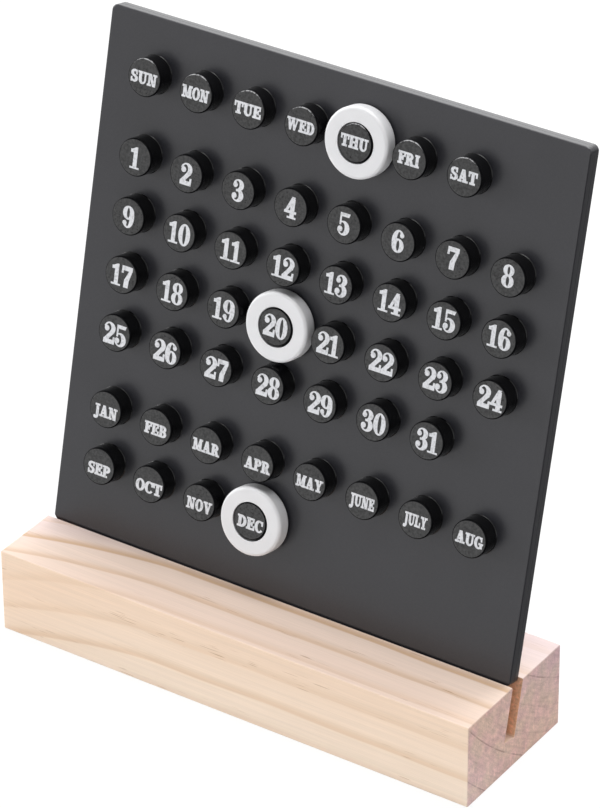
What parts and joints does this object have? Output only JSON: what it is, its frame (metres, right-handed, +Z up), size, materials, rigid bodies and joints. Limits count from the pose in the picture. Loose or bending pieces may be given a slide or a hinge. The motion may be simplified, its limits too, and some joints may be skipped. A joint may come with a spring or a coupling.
{
  "type": "perpetual desk calendar",
  "caption": "Perpetual desk calendar: a black board of pegs for the days, dates and months leans in a slotted pine block, and loose white rings on the pegs mark today.",
  "frame": {"origin": "middle of the pine block's underside", "axes": "+Z up, +X along the block to the right of someone reading the calendar, -Y towards the reader"},
  "size_m": [0.1818, 0.0731, 0.2035],
  "materials": {
    "pine": "planed and sanded, unvarnished",
    "board_plastic": "fine moulded matt",
    "peg_plastic": "moulded semi-matt, printed faces",
    "white_plastic": "smooth moulded"
  },
  "bodies": {
    "base": {"pine_base": "pine"},
    "board": {"board": "board_plastic", "peg_day_sun": "peg_plastic", "peg_day_mon": "peg_plastic", "peg_day_tue": "peg_plastic", "peg_day_wed": "peg_plastic", "peg_day_thu": "peg_plastic", "peg_day_fri": "peg_plastic", "peg_day_sat": "peg_plastic", "peg_date_01": "peg_plastic", "peg_date_02": "peg_plastic", "peg_date_03": "peg_plastic", "peg_date_04": "peg_plastic", "peg_date_05": "peg_plastic", "peg_date_06": "peg_plastic", "peg_date_07": "peg_plastic", "peg_date_08": "peg_plastic", "peg_date_09": "peg_plastic", "peg_date_10": "peg_plastic", "peg_date_11": "peg_plastic", "peg_date_12": "peg_plastic", "peg_date_13": "peg_plastic", "peg_date_14": "peg_plastic", "peg_date_15": "peg_plastic", "peg_date_16": "peg_plastic", "peg_date_17": "peg_plastic", "peg_date_18": "peg_plastic", "peg_date_19": "peg_plastic", "peg_date_20": "peg_plastic", "peg_date_21": "peg_plastic", "peg_date_22": "peg_plastic", "peg_date_23": "peg_plastic", "peg_date_24": "peg_plastic", "peg_date_25": "peg_plastic", "peg_date_26": "peg_plastic", "peg_date_27": "peg_plastic", "peg_date_28": "peg_plastic", "peg_date_29": "peg_plastic", "peg_date_30": "peg_plastic", "peg_date_31": "peg_plastic", "peg_month_jan": "peg_plastic", "peg_month_feb": "peg_plastic", "peg_month_mar": "peg_plastic", "peg_month_apr": "peg_plastic", "peg_month_may": "peg_plastic", "peg_month_june": "peg_plastic", "peg_month_july": "peg_plastic", "peg_month_aug": "peg_plastic", "peg_month_sep": "peg_plastic", "peg_month_oct": "peg_plastic", "peg_month_nov": "peg_plastic", "peg_month_dec": "peg_plastic"},
    "ring_day": {"ring_day": "white_plastic"},
    "ring_date": {"ring_date": "white_plastic"},
    "ring_month": {"ring_month": "white_plastic"}
  },
  "joints": [
    {"name": "board_lift", "type": "slide", "parent": "base", "child": "board", "axis": [0, 0.2334, 0.9724], "range_m": [0, 0.025]},
    {"name": "ring_day_lift", "type": "slide", "parent": "board", "child": "ring_day", "axis": [0, -0.9724, 0.2334], "range_m": [0, 0.01]},
    {"name": "ring_date_lift", "type": "slide", "parent": "board", "child": "ring_date", "axis": [0, -0.9724, 0.2334], "range_m": [0, 0.01]},
    {"name": "ring_month_lift", "type": "slide", "parent": "board", "child": "ring_month", "axis": [0, -0.9724, 0.2334], "range_m": [0, 0.01]}
  ]
}
